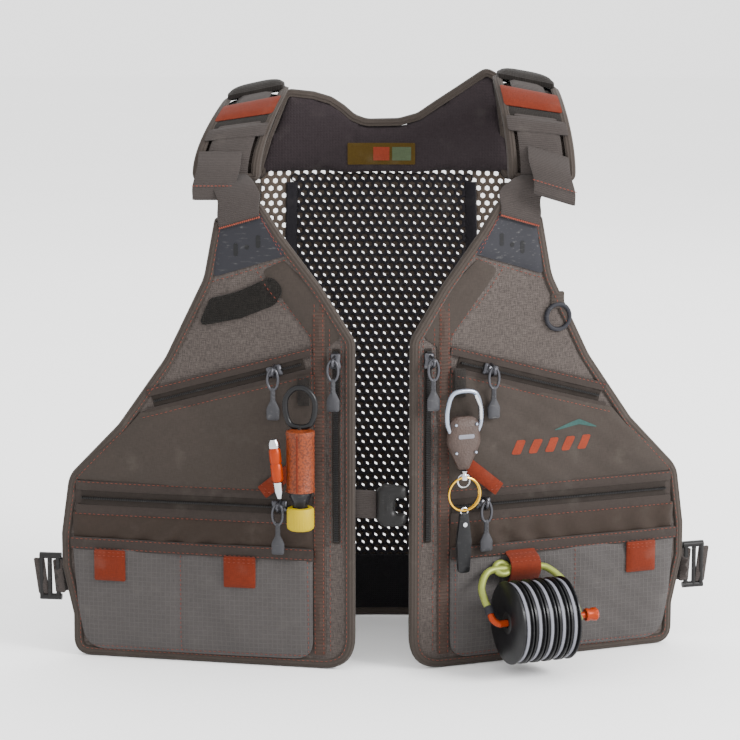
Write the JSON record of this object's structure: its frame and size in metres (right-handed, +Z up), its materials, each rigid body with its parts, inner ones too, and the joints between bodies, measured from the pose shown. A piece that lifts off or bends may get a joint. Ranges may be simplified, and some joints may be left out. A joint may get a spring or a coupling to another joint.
{
  "type": "fishing vest",
  "caption": "Short fly-fishing vest with zipped pockets, a mesh back, padded shoulders, a front buckle and clipped angler's tools, standing on its hem.",
  "frame": {"origin": "centre of the vest's footprint on the surface that its hem stands on", "axes": "+X to the viewer's right across the vest, +Y towards its back, +Z up"},
  "size_m": [0.4842, 0.2104, 0.413],
  "materials": {
    "mesh": "open knitted hexagon mesh",
    "hem": "plain weave band",
    "collar": "padded air mesh",
    "label": "blank woven label",
    "pad": "padded mesh over foam",
    "loop": "padded loop",
    "orange_fabric": "plain weave",
    "webbing": "ribbed webbing",
    "buckle": "satin moulded acetal",
    "front_fabric": "melange laminate",
    "binding": "folded tape with contrast stitches",
    "pocket_fabric": "brushed laminate",
    "ripstop": "ripstop weave",
    "zipper": "coil zipper tape",
    "patch": "moulded rubber patch",
    "fly_patch": "dark hook pile",
    "slider_metal": "gunmetal",
    "pull": "moulded pull",
    "steel": "satin",
    "spool": "moulded",
    "green_metal": "anodised",
    "orange_metal": "anodised",
    "clip_metal": "anodised",
    "case": "moulded leather-look shell",
    "brass": "polished wire",
    "sleeve": "neoprene",
    "bottle": "blown bottle",
    "cap": "ribbed cap"
  },
  "bodies": {
    "root": {"back_mesh_panel": "mesh", "back_hem_band": "hem", "collar_yoke": "collar", "neck_label": "label", "left_shoulder_pad": "pad", "right_shoulder_pad": "pad", "shoulder_top_loops": "loop", "shoulder_bands": "orange_fabric", "shoulder_webbing": "webbing", "side_straps": "webbing", "side_buckles": "buckle"},
    "left_front": {"left_front_panel": "front_fabric", "left_edge_binding": "binding", "left_chest_pocket": "pocket_fabric", "left_lower_pocket": "ripstop", "left_zipper_tapes": "zipper", "left_pocket_tabs": "orange_fabric", "left_shoulder_patch": "patch", "left_gear_straps": "orange_fabric", "left_fly_patch": "fly_patch", "closure_strap": "webbing", "closure_socket": "buckle"},
    "left_chest_slider_body": {"left_chest_slider": "slider_metal"},
    "left_chest_pull_body": {"left_chest_pull": "pull"},
    "left_band_slider_body": {"left_band_slider": "slider_metal"},
    "left_band_pull_body": {"left_band_pull": "pull"},
    "left_front_slider_body": {"left_front_slider": "slider_metal"},
    "left_front_pull_body": {"left_front_pull": "pull"},
    "right_front": {"right_front_panel": "front_fabric", "right_edge_binding": "binding", "right_chest_pocket": "pocket_fabric", "right_lower_pocket": "ripstop", "right_zipper_tapes": "zipper", "right_pocket_tabs": "orange_fabric", "right_shoulder_patch": "patch", "right_gear_straps": "orange_fabric", "closure_plug": "buckle"},
    "right_chest_slider_body": {"right_chest_slider": "slider_metal"},
    "right_chest_pull_body": {"right_chest_pull": "pull"},
    "right_band_slider_body": {"right_band_slider": "slider_metal"},
    "right_band_pull_body": {"right_band_pull": "pull"},
    "right_front_slider_body": {"right_front_slider": "slider_metal"},
    "right_front_pull_body": {"right_front_pull": "pull"},
    "d_ring_body": {"d_ring": "slider_metal"},
    "retractor": {"retractor_clip": "clip_metal", "retractor_case": "case"},
    "tether": {"tether_ring": "brass", "line_nipper": "steel"},
    "tippet_holder": {"tippet_bow": "green_metal", "tippet_rod": "orange_metal"},
    "spool_1": {"tippet_spool_1": "spool"},
    "spool_2": {"tippet_spool_2": "spool"},
    "spool_3": {"tippet_spool_3": "spool"},
    "spool_4": {"tippet_spool_4": "spool"},
    "spool_5": {"tippet_spool_5": "spool"},
    "floatant_set": {"floatant_clip": "clip_metal", "floatant_sleeve": "sleeve"},
    "bottle": {"floatant_bottle": "bottle"},
    "bottle_cap": {"floatant_cap": "cap"}
  },
  "joints": [
    {"name": "left_front_swing", "type": "hinge", "parent": "root", "child": "left_front", "pos_m": [-0.09489, -0.03496, 0.332], "axis": [-0.4323, 0.0919, -0.897], "range_deg": [0, 60]},
    {"name": "left_chest_zip", "type": "slide", "parent": "left_front", "child": "left_chest_slider_body", "axis": [-0.9415, 0.2001, -0.2713], "range_m": [0, 0.085]},
    {"name": "left_chest_pull_swing", "type": "hinge", "parent": "left_chest_slider_body", "child": "left_chest_pull_body", "pos_m": [-0.07111, -0.05296, 0.21736], "axis": [-0.9781, 0.2079, 0], "range_deg": [0, 85]},
    {"name": "left_band_zip", "type": "slide", "parent": "left_front", "child": "left_band_slider_body", "axis": [-0.9781, 0.2079, 0], "range_m": [0, 0.135]},
    {"name": "left_band_pull_swing", "type": "hinge", "parent": "left_band_slider_body", "child": "left_band_pull_body", "pos_m": [-0.06818, -0.05358, 0.121], "axis": [-0.9781, 0.2079, 0], "range_deg": [0, 85]},
    {"name": "left_front_zip", "type": "slide", "parent": "left_front", "child": "left_front_slider_body", "axis": [0, 0, -1], "range_m": [0, 0.12]},
    {"name": "left_front_pull_swing", "type": "hinge", "parent": "left_front_slider_body", "child": "left_front_pull_body", "pos_m": [-0.02905, -0.0619, 0.225], "axis": [-0.9781, 0.2079, 0], "range_deg": [0, 85]},
    {"name": "right_front_swing", "type": "hinge", "parent": "root", "child": "right_front", "pos_m": [0.10138, -0.02173, 0.332], "axis": [-0.4112, -0.162, 0.897], "range_deg": [0, 60]},
    {"name": "right_chest_zip", "type": "slide", "parent": "right_front", "child": "right_chest_slider_body", "axis": [0.8955, 0.3528, -0.2713], "range_m": [0, 0.085]},
    {"name": "right_chest_pull_swing", "type": "hinge", "parent": "right_chest_slider_body", "child": "right_chest_pull_body", "pos_m": [0.08369, -0.0423, 0.21652], "axis": [-0.9304, -0.3665, 0], "range_deg": [0, 85]},
    {"name": "right_band_zip", "type": "slide", "parent": "right_front", "child": "right_band_slider_body", "axis": [0.9304, 0.3665, 0], "range_m": [0, 0.135]},
    {"name": "right_band_pull_swing", "type": "hinge", "parent": "right_band_slider_body", "child": "right_band_pull_body", "pos_m": [0.07904, -0.04414, 0.121], "axis": [-0.9304, -0.3665, 0], "range_deg": [0, 85]},
    {"name": "right_front_zip", "type": "slide", "parent": "right_front", "child": "right_front_slider_body", "axis": [0, 0, -1], "range_m": [0, 0.12]},
    {"name": "right_front_pull_swing", "type": "hinge", "parent": "right_front_slider_body", "child": "right_front_pull_body", "pos_m": [0.04089, -0.05916, 0.225], "axis": [-0.9304, -0.3665, 0], "range_deg": [0, 85]},
    {"name": "d_ring_flip", "type": "hinge", "parent": "right_front", "child": "d_ring_body", "pos_m": [0.12983, -0.01482, 0.257], "axis": [-0.9304, -0.3665, 0], "range_deg": [0, 150]},
    {"name": "retractor_swing", "type": "hinge", "parent": "right_front", "child": "retractor", "pos_m": [0.06204, -0.05281, 0.201], "axis": [-0.9304, -0.3665, 0], "range_deg": [0, 60]},
    {"name": "tether_pull", "type": "slide", "parent": "retractor", "child": "tether", "axis": [0.3665, -0.9304, 0], "range_m": [0, 0.45], "stiffness_N_per_m": 2},
    {"name": "tippet_swing", "type": "hinge", "parent": "right_front", "child": "tippet_holder", "pos_m": [0.10576, -0.03559, 0.071], "axis": [-0.9304, -0.3665, 0], "range_deg": [0, 50]},
    {"name": "spool_1_spin", "type": "hinge", "parent": "tippet_holder", "child": "spool_1", "pos_m": [0.11676, -0.0635, 0.04], "axis": [0.9304, 0.3665, 0], "continuous": true},
    {"name": "spool_2_spin", "type": "hinge", "parent": "tippet_holder", "child": "spool_2", "pos_m": [0.11676, -0.0635, 0.04], "axis": [0.9304, 0.3665, 0], "continuous": true},
    {"name": "spool_3_spin", "type": "hinge", "parent": "tippet_holder", "child": "spool_3", "pos_m": [0.11676, -0.0635, 0.04], "axis": [0.9304, 0.3665, 0], "continuous": true},
    {"name": "spool_4_spin", "type": "hinge", "parent": "tippet_holder", "child": "spool_4", "pos_m": [0.11676, -0.0635, 0.04], "axis": [0.9304, 0.3665, 0], "continuous": true},
    {"name": "spool_5_spin", "type": "hinge", "parent": "tippet_holder", "child": "spool_5", "pos_m": [0.11676, -0.0635, 0.04], "axis": [0.9304, 0.3665, 0], "continuous": true},
    {"name": "floatant_swing", "type": "hinge", "parent": "left_front", "child": "floatant_set", "pos_m": [-0.05164, -0.07196, 0.206], "axis": [-0.9781, 0.2079, 0], "range_deg": [0, 60]},
    {"name": "bottle_slide", "type": "slide", "parent": "floatant_set", "child": "bottle", "axis": [0, 0, -1], "range_m": [0, 0.04]},
    {"name": "cap_turn", "type": "hinge", "parent": "bottle", "child": "bottle_cap", "pos_m": [-0.05164, -0.07196, 0.115], "axis": [0, 0, 1], "continuous": true}
  ]
}
